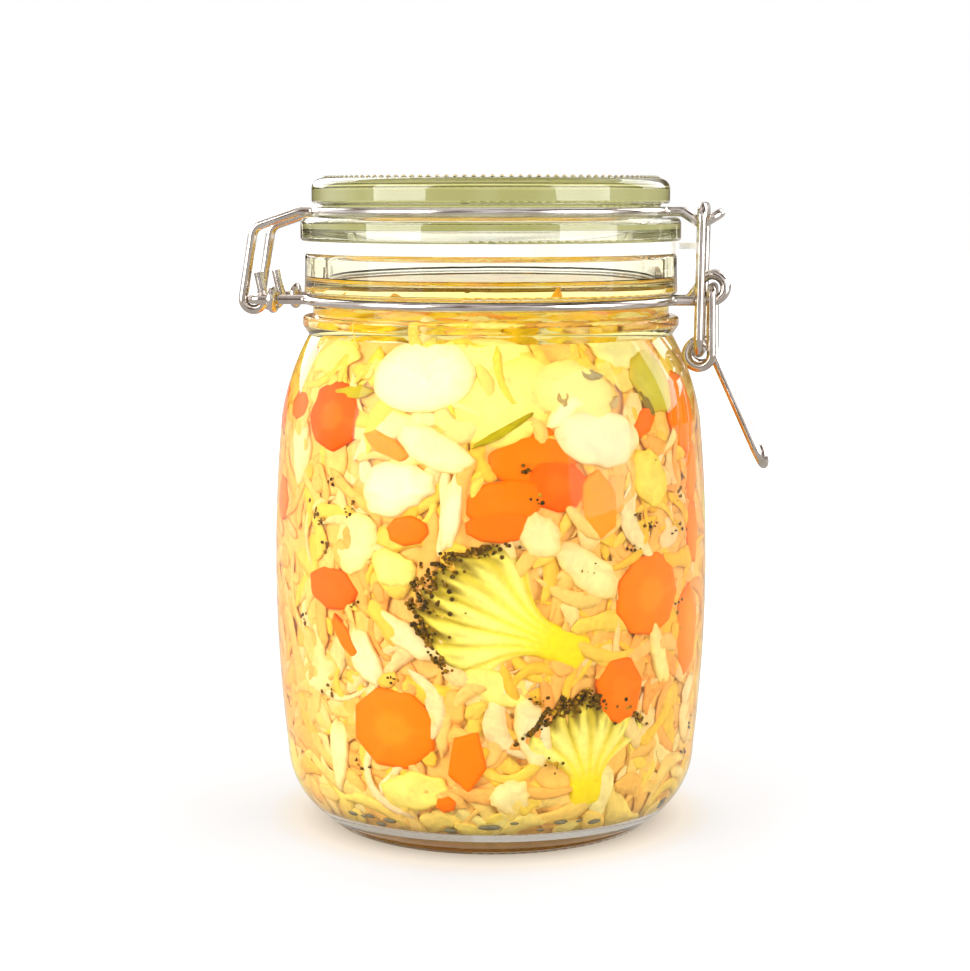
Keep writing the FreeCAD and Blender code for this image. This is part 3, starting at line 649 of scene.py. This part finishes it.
carrot, carrot_out, carrot_angle = plates(disc_shape, around, up, half_round, half_up,
                                          CARROT_THICK, depth, turn, sides, ragged)
# The core is the part nearer the middle than 0.42, and small slices show neither it nor rays.
core_share = 1 / (1 + np.exp((carrot_out - 0.42 - 0.03 * np.cos(7 * carrot_angle)) * 28))
rays = 0.10 * np.clip(np.cos(carrot_angle * 3), 0, 1) ** 30 * (carrot_out > 0.35)
shown = np.clip((np.minimum(half_round, half_up) - 5) / 4, 0, 1)[:, None]
paler = (core_share * 0.22 + rays)[..., None] * shown[..., None] * np.array([0.0, 0.26, 0.03])
carrot_edge = np.array([0.0, 0.14, 0.3]) * carrot_out[..., None] ** 10
carrot_paint = (linear(CARROT[:, 8:11] - (0, 6, 8))[:, None] + paler) * (1 - carrot_edge)
food_piece("carrot_slices", carrot, disc_quads, carrot_paint,
           food_material("carrot", 500.0, 0.10, 0.0, 0.22))

# ---------------------------------------------------------------- broccoli
# Florets pressed flat: a yellow stem that fans out into ridged branches, with dark brown buds
# crowded along the crown's edge. Pickling has turned the green to lemon yellow.
HALF_STEM = 4.6  # mm
fan_shape, fan_quads = block(44, 44, 4)
FLORETS = np.array([  # azimuth and height of the stem's foot, length, half spread, turn, branches
    (-54.5, 51.0, 46, 20, 157, 7), (-53.0, 12.5, 29, 18, 93, 6), (34.0, 70.0, 40, 20, 30, 7),
    (82.0, 30.0, 36, 19, 130, 6), (118.0, 84.0, 38, 20, 200, 7), (158.0, 44.0, 42, 20, 60, 8),
    (12.0, 24.0, 30, 17, 70, 6)], float)


def fan(x, y, length, spread_out, branches):
    """A floret in its own plane, in mm, with x from the foot to the crown and y across, both -1
    to 1; and how far along and how far open it is there, 0 to 1. Its sides run straight as the
    stem and then swing out by 3 t squared less 2 t cubed, and the crown's edge has a lobe for
    each branch."""
    t = (x + 1) / 2
    open_up = np.clip((t - 0.25) / 0.6, 0, 1)
    open_up = open_up ** 2 * (3 - 2 * open_up)
    lobes = 1 + 0.035 * np.cos(branches * math.pi * y) * open_up
    along = length * t * (1 - 0.30 * y ** 2 * open_up) * lobes
    rounded = 1 - 0.25 * np.clip((t - 0.85) / 0.15, 0, 1) * np.abs(y)
    across = y * (HALF_STEM + (spread_out - HALF_STEM) * open_up) * rounded
    return along, across, t, open_up


fx, fy, fw = (fan_shape[None, :, i] for i in range(3))
length, half_spread, branches = (FLORETS[:, i:i + 1] for i in (2, 3, 5))
along, across, fan_t, fan_open = fan(fx, fy, length, half_spread, branches)
ridge = np.abs(np.sin(branches * math.pi * fy / 2 + 0.6)) ** 0.6
round_off = np.sqrt(np.clip(1 - fy ** 6, 0, 1) * np.clip(1 - (fx * 0.99) ** 10, 0, 1))
# The face at the glass is ridged and rounds off at its edge; the one behind is plain.
face = 0.5 + 1.5 * (1 - ridge) * fan_open + 2.6 * (1 - round_off) + (fw + 1) * 2.4
inward = np.where(fw < 0, face, 5.5 - (1 - fw) * 2.4 * round_off)
florets = against_wall(np.stack([along, across, np.maximum(inward, 0.3)], -1),
                       FLORETS[:, 0], FLORETS[:, 1], FLORETS[:, 4])
lemon, pale_yellow, olive, brown = linear([(255, 222, 34), (255, 242, 130), (138, 110, 20),
                                           (112, 82, 20)])
heart = np.clip(1.2 - np.abs(fan_t - 0.62) * 3.2, 0, 1) * ridge
# The grooves between the branches are olive, and darker there as painted shade in the hollows of
# the ridged face.
groove_olive_and_shade = 0.85 * (1 - ridge) ** 1.5 * np.clip((fan_t - 0.5) / 0.3, 0, 1)
lines = (0.5 + 0.5 * np.cos(15 * math.pi * fy + 3 * np.sin(4 * fan_t) + branches)) ** 5
lines = lines * np.clip((fan_t - 0.6) / 0.3, 0, 0.8)
crown_from = 0.82 + 0.09 * np.sin(31 * fy + branches) * np.sin(11 * fy)
crown = 0.85 * np.clip((fan_t - crown_from) / 0.10, 0, 1)
floret_paint = np.broadcast_to(lemon, (*heart.shape, 3))
for share, tone in ((heart, pale_yellow), (groove_olive_and_shade, olive), (lines, olive), (crown, brown)):
    floret_paint = floret_paint * (1 - share[..., None]) + tone * share[..., None]
food_piece("broccoli_florets", florets, fan_quads, floret_paint,
           food_material("broccoli stem", 700.0, 0.16, 0.1, 0.5))

bud_shape, bud_quads = block(2, 2, 2)
bud_unit = bud_shape / np.linalg.norm(bud_shape, axis=1, keepdims=True)
PER_FLORET = 480
which = np.repeat(np.arange(len(FLORETS)), PER_FLORET)
bud_y = spread(-1, 1, len(which)) * 0.98
bud_x = 1.02 - np.abs(rng.normal(0, 0.17, len(which)))
row = FLORETS[which]
bud_along, bud_across, _, _ = fan(bud_x, bud_y, row[:, 2], row[:, 3], row[:, 5])
bud_r = spread(0.26, 0.66, len(which))[:, None, None]
bud_place = np.stack([bud_along + 0.5, bud_across, spread(0.5, 2.2, len(which))], -1)[:, None]
bud_flat = bud_place + bud_unit * bud_r
bud_flat[..., 2] = np.maximum(bud_flat[..., 2], LEAST_IN)
buds = against_wall(bud_flat, row[:, 0], row[:, 1], row[:, 4])
# Buds that came loose lie about in small clusters.
CLUSTERS, EACH = 38, 7
middle = np.stack([spread(-180, 180, CLUSTERS), spread(10, 112, CLUSTERS)], -1)
middle[:14] = [(-128.7, 92.0), (-136.0, 84.0), (-130.0, 76.5), (-122.0, 86.0), (-38.0, 83.0),
               (-34.0, 81.0), (-41.0, 77.0), (-33.0, 97.0), (-121.0, 63.0), (-68.5, 41.0),
               (-62.0, 38.5), (-132.0, 39.0), (-20.0, 88.0), (-20.5, 80.0)]
pick = np.repeat(np.arange(CLUSTERS), EACH)
loose = np.stack([rng.normal(0, 1.3, len(pick)), rng.normal(0, 1.1, len(pick)),
                  spread(0.5, 1.3, len(pick))], -1)
loose_flat = loose[:, None] + bud_unit * spread(0.16, 0.62, (len(pick), 1, 3))
loose_flat[..., 2] = np.maximum(loose_flat[..., 2], LEAST_IN)
loose_buds = against_wall(loose_flat, middle[pick, 0], middle[pick, 1], np.zeros(len(pick)))
all_buds = np.concatenate([buds, loose_buds])
bud_tones = linear([(96, 70, 16), (126, 88, 18), (158, 112, 24), (206, 154, 30), (74, 56, 20)])
bud_tone = bud_tones[picked((0.3, 0.26, 0.2, 0.1, 0.14), len(all_buds))]
food_piece("broccoli_buds", all_buds, bud_quads,
           np.broadcast_to(bud_tone[:, None], (*all_buds.shape[:2], 3)),
           food_material("broccoli buds", 1500.0, 0.3, 0.0, 0.6, roughness=0.6))

# ---------------------------------------------------------------- air bubbles
# Small bubbles cling to the glass along the brine's level, and a few flat ones lie under the
# vegetables on the floor of the jar.
RISEN, SUNK = 130, 30
bubble_r = np.concatenate([spread(0.18, 0.5, RISEN), spread(0.5, 1.3, SUNK)])
bubble_flat = bud_unit * bubble_r[:, None, None]
bubble_flat[RISEN:] *= (1.7, 0.55, 0.6)
bubble_flat[..., 2] = np.maximum(bubble_flat[..., 2] + bubble_r[:, None] * 0.9, 0.2)
bubble_height = np.concatenate([LEVEL_Z * 1000 - 3.6 - np.abs(rng.normal(0, 0.7, RISEN)),
                                spread(8.2, 10.4, SUNK)])
bubble_azimuth = np.concatenate([spread(-180, 180, RISEN), spread(-180, 180, SUNK)])
bubble_azimuth[RISEN:RISEN + 9] = (-81, -74.5, -66, -60, -54, -48, -94, -114, -121)
bubbles = against_wall(bubble_flat, bubble_azimuth, bubble_height, np.zeros(RISEN + SUNK))
bubble_finish, bubble_tree, bubble_out = new_material("air bubbles")
bubble_shader = add_node(bubble_tree, "ShaderNodeBsdfPrincipled", Roughness=0.08, IOR=1.45,
                         Base_Color=from_srgb(120, 112, 84))
join(bubble_tree, (bubble_shader.outputs[0], bubble_out.inputs[0]))
food_piece("air_bubbles", bubbles, bud_quads, np.ones((*bubbles.shape[:2], 3)), bubble_finish)

# ---------------------------------------------------------------- the seal
# A ring of off-white rubber pressed between lid and rim, with a tab to pull it out by.
seal_material, seal_tree, seal_out = new_material("seal rubber")
seal_shader = add_node(seal_tree, "ShaderNodeBsdfPrincipled", Roughness=0.55)
seal_coords = add_node(seal_tree, "ShaderNodeTexCoord")
seal_slow = add_node(seal_tree, "ShaderNodeTexNoise", Scale=55.0, Detail=3.0)
seal_fine = add_node(seal_tree, "ShaderNodeTexNoise", Scale=1600.0, Detail=2.0)
seal_tone = add_node(seal_tree, "ShaderNodeValToRGB")
seal_tone.color_ramp.elements[0].position, seal_tone.color_ramp.elements[1].position = 0.38, 0.62
seal_tone.color_ramp.elements[0].color = from_srgb(222, 218, 206)
seal_tone.color_ramp.elements[1].color = from_srgb(234, 232, 226)
seal_rough = add_node(seal_tree, "ShaderNodeMapRange", To_Min=0.48, To_Max=0.66)
seal_bump = add_node(seal_tree, "ShaderNodeBump", Strength=0.25, Distance=0.0002)
join(seal_tree, (seal_coords.outputs["Object"], seal_slow.inputs["Vector"]),
     (seal_coords.outputs["Object"], seal_fine.inputs["Vector"]),
     (seal_slow.outputs["Fac"], seal_tone.inputs[0]),
     (seal_tone.outputs[0], seal_shader.inputs["Base Color"]),
     (seal_fine.outputs["Fac"], seal_rough.inputs["Value"]),
     (seal_rough.outputs[0], seal_shader.inputs["Roughness"]),
     (seal_fine.outputs["Fac"], seal_bump.inputs["Height"]),
     (seal_bump.outputs["Normal"], seal_shader.inputs["Normal"]),
     (seal_shader.outputs[0], seal_out.inputs[0]))
finish_node("gasket", seal_material)

# ---------------------------------------------------------------- the lid
# Pressed glass like the jar's but greener, with a groove for its wire and a rim of small knobs.
lid_glass = clear_glass("lid glass", GLASS_IOR, (0.96, 0.97, 0.93, 1), 0.35,
                        absorbs=from_srgb(220, 218, 150), density=26.0)
finish_node("glass_lid", lid_glass)

# ---------------------------------------------------------------- the wires
# Bright drawn steel wire 2.4 mm thick, bent cold.
wire_material, wire_tree, wire_out = new_material("bright wire")
wire_shader = add_node(wire_tree, "ShaderNodeBsdfPrincipled", Metallic=1.0)
wire_coords = add_node(wire_tree, "ShaderNodeTexCoord")
wire_slow = add_node(wire_tree, "ShaderNodeTexNoise", Scale=130.0, Detail=3.0)
wire_fine = add_node(wire_tree, "ShaderNodeTexNoise", Scale=1400.0, Detail=3.0)
wire_tone = add_node(wire_tree, "ShaderNodeValToRGB")
wire_tone.color_ramp.elements[0].position, wire_tone.color_ramp.elements[1].position = 0.36, 0.6
wire_tone.color_ramp.elements[0].color = from_srgb(200, 190, 180)
wire_tone.color_ramp.elements[1].color = from_srgb(218, 213, 208)
wire_rough = add_node(wire_tree, "ShaderNodeMapRange", From_Min=0.3, From_Max=0.7,
                      To_Min=0.11, To_Max=0.23)
wire_bump = add_node(wire_tree, "ShaderNodeBump", Strength=0.12, Distance=0.00008)
join(wire_tree, (wire_coords.outputs["Object"], wire_slow.inputs["Vector"]),
     (wire_coords.outputs["Object"], wire_fine.inputs["Vector"]),
     (wire_slow.outputs["Fac"], wire_tone.inputs[0]),
     (wire_tone.outputs[0], wire_shader.inputs["Base Color"]),
     (wire_slow.outputs["Fac"], wire_rough.inputs["Value"]),
     (wire_rough.outputs[0], wire_shader.inputs["Roughness"]),
     (wire_fine.outputs["Fac"], wire_bump.inputs["Height"]),
     (wire_bump.outputs["Normal"], wire_shader.inputs["Normal"]),
     (wire_shader.outputs[0], wire_out.inputs[0]))
for part in ("neck_wire", "lid_wire", "lever", "link"):
    finish_node(part, wire_material)

# ---------------------------------------------------------------- table and light
# A white table in a white studio with four large soft lamps. What the glass and the wires mirror
# is a dimmer room of soft light and dark patches. Under the jar's foot the table's glow holds a
# painted shadow, dark brown, and just round the foot a painted warm light, as if shone through the
# brine.
floor_material, floor_tree, floor_out = new_material("white table")
floor_own = add_node(floor_tree, "ShaderNodeBsdfDiffuse", Color=(0.32, 0.32, 0.32, 1))
floor_white = add_node(floor_tree, "ShaderNodeEmission", Strength=1.0)
floor_place = add_node(floor_tree, "ShaderNodeTexCoord")
floor_away = add_node(floor_tree, "ShaderNodeVectorMath", operation="LENGTH")
floor_glow_and_painted_shadow = add_node(floor_tree, "ShaderNodeValToRGB")
# Painted shadow and painted light in the table's glow: dark brown under the foot and warm just
# round it. From 6 cm out the glow rises to white at 0.45 m, so that together with the lamps the
# table looks evenly white.
for place, level in ((0.040, (0.18, 0.12, 0.06, 1)), (0.0495, (0.56, 0.46, 0.34, 1)),
                     (0.060, (0.53, 0.52, 0.52, 1)), (0.45, (1, 1, 1, 1))):
    floor_glow_and_painted_shadow.color_ramp.elements.new(place).color = level
floor_glow_and_painted_shadow.color_ramp.elements[0].color = (0.18, 0.12, 0.06, 1)
floor_none = add_node(floor_tree, "ShaderNodeEmission", Color=(1, 1, 1, 1), Strength=0.0)
floor_dim = add_node(floor_tree, "ShaderNodeEmission", Color=(1, 0.94, 0.88, 1), Strength=0.6)
floor_path = add_node(floor_tree, "ShaderNodeLightPath")
floor_direct = add_node(floor_tree, "ShaderNodeMath", operation="MAXIMUM")
floor_bounced = add_node(floor_tree, "ShaderNodeMath", operation="SUBTRACT", use_clamp=True)
floor_glow = add_node(floor_tree, "ShaderNodeMixShader")
floor_lit = add_node(floor_tree, "ShaderNodeAddShader")
floor_shown = add_node(floor_tree, "ShaderNodeMixShader")
join(floor_tree, (floor_place.outputs["Object"], floor_away.inputs[0]),
     (floor_away.outputs["Value"], floor_glow_and_painted_shadow.inputs[0]),
     (floor_glow_and_painted_shadow.outputs[0], floor_white.inputs["Color"]),
     (floor_path.outputs["Is Camera Ray"], floor_direct.inputs[0]),
     (floor_path.outputs["Is Transmission Ray"], floor_direct.inputs[1]),
     (floor_direct.outputs[0], floor_glow.inputs[0]),
     (floor_none.outputs[0], floor_glow.inputs[1]),
     (floor_white.outputs[0], floor_glow.inputs[2]), (floor_own.outputs[0], floor_lit.inputs[0]),
     (floor_glow.outputs[0], floor_lit.inputs[1]),
     (floor_path.outputs["Is Glossy Ray"], floor_bounced.inputs[0]),
     (floor_path.outputs["Is Transmission Ray"], floor_bounced.inputs[1]),
     (floor_bounced.outputs[0], floor_shown.inputs[0]),
     (floor_lit.outputs[0], floor_shown.inputs[1]), (floor_dim.outputs[0], floor_shown.inputs[2]),
     (floor_shown.outputs[0], floor_out.inputs[0]))
FLOOR_HALF = 6.0
table = bpy.data.meshes.new("table")
table.from_pydata([(-FLOOR_HALF, -FLOOR_HALF, 0), (FLOOR_HALF, -FLOOR_HALF, 0),
                   (FLOOR_HALF, FLOOR_HALF, 0), (-FLOOR_HALF, FLOOR_HALF, 0)], [], [(0, 1, 2, 3)])
table.materials.append(floor_material)
table_top = bpy.data.objects.new("table", table)
bpy.context.scene.collection.objects.link(table_top)

world = bpy.data.worlds.new("studio")
bpy.context.scene.world = world
world.use_nodes = True
sky = world.node_tree
sky.nodes.clear()
sky_out = sky.nodes.new("ShaderNodeOutputWorld")
lighting = add_node(sky, "ShaderNodeBackground", Color=(1, 1, 1, 1), Strength=0.7)
seen = add_node(sky, "ShaderNodeBackground", Color=(1, 1, 1, 1), Strength=1.0)
mirrored = add_node(sky, "ShaderNodeBackground", Strength=1.0)
sky_path = add_node(sky, "ShaderNodeLightPath")
direct = add_node(sky, "ShaderNodeMath", operation="MAXIMUM")
bounced = add_node(sky, "ShaderNodeMath", operation="SUBTRACT", use_clamp=True)
with_white = add_node(sky, "ShaderNodeMixShader")
with_mirror = add_node(sky, "ShaderNodeMixShader")
toward = add_node(sky, "ShaderNodeTexCoord")
patches = add_node(sky, "ShaderNodeTexNoise", Scale=1.9, Detail=1.5)
room = add_node(sky, "ShaderNodeValToRGB")
room.color_ramp.elements[0].position, room.color_ramp.elements[1].position = 0.42, 0.56
room.color_ramp.elements[0].color = (0.10, 0.065, 0.05, 1)
room.color_ramp.elements[1].color = (1, 0.98, 0.97, 1)
room.color_ramp.elements.new(0.48).color = (0.52, 0.42, 0.38, 1)
join(sky, (toward.outputs["Generated"], patches.inputs["Vector"]),
     (patches.outputs["Fac"], room.inputs[0]), (room.outputs["Color"], mirrored.inputs["Color"]),
     (sky_path.outputs["Is Camera Ray"], direct.inputs[0]),
     (sky_path.outputs["Is Transmission Ray"], direct.inputs[1]),
     (direct.outputs[0], with_white.inputs[0]), (lighting.outputs[0], with_white.inputs[1]),
     (seen.outputs[0], with_white.inputs[2]),
     (sky_path.outputs["Is Glossy Ray"], bounced.inputs[0]),
     (sky_path.outputs["Is Transmission Ray"], bounced.inputs[1]),
     (bounced.outputs[0], with_mirror.inputs[0]), (with_white.outputs[0], with_mirror.inputs[1]),
     (mirrored.outputs[0], with_mirror.inputs[2]), (with_mirror.outputs[0], sky_out.inputs[0]))


def soft_lamp(name, place, aim, size, power):
    """A square area lamp at place, turned to face aim."""
    light = bpy.data.lights.new(name, "AREA")
    light.size = size
    light.energy = power
    lamp = bpy.data.objects.new(name, light)
    lamp.location = place
    lamp.rotation_euler = (Vector(aim) - Vector(place)).to_track_quat("-Z", "Y").to_euler()
    lamp.visible_transmission = False
    bpy.context.scene.collection.objects.link(lamp)


LAMP_AWAY, LAMP_SIZE, LAMP_AIM = 1.5, 1.1, (0, 0, 0.07)
for label, azimuth, up, power in (("key", -141, 0.56, 27), ("fill", -22, 0.52, 24),
                                  ("back_left", 128, 0.8, 15), ("back_right", 48, 0.8, 15)):
    azimuth = math.radians(azimuth)
    soft_lamp(label, (LAMP_AWAY * math.cos(azimuth), LAMP_AWAY * math.sin(azimuth), up), LAMP_AIM,
              LAMP_SIZE, power)

bpy.context.scene.view_settings.view_transform = "Standard"

# ---------------------------------------------------------------- camera
# Level with the lid, 57 cm from the jar's axis and a little round towards the clip.
CAMERA_ROUND = math.radians(8.5)
CAMERA_AWAY = 0.572
CAMERA_Z = 0.1612
CAMERA_DOWN = math.radians(7.43)
CAMERA_YAW = math.radians(0.153)
LENS = 81.95
view = bpy.data.cameras.new("camera")
view.sensor_width = 36.0
view.lens = LENS
view.clip_start = 0.01
camera = bpy.data.objects.new("camera", view)
camera.location = (CAMERA_AWAY * math.sin(CAMERA_ROUND), -CAMERA_AWAY * math.cos(CAMERA_ROUND),
                   CAMERA_Z)
camera.rotation_euler = (math.pi / 2 - CAMERA_DOWN, 0, CAMERA_ROUND + CAMERA_YAW)
bpy.context.scene.collection.objects.link(camera)
bpy.context.scene.camera = camera
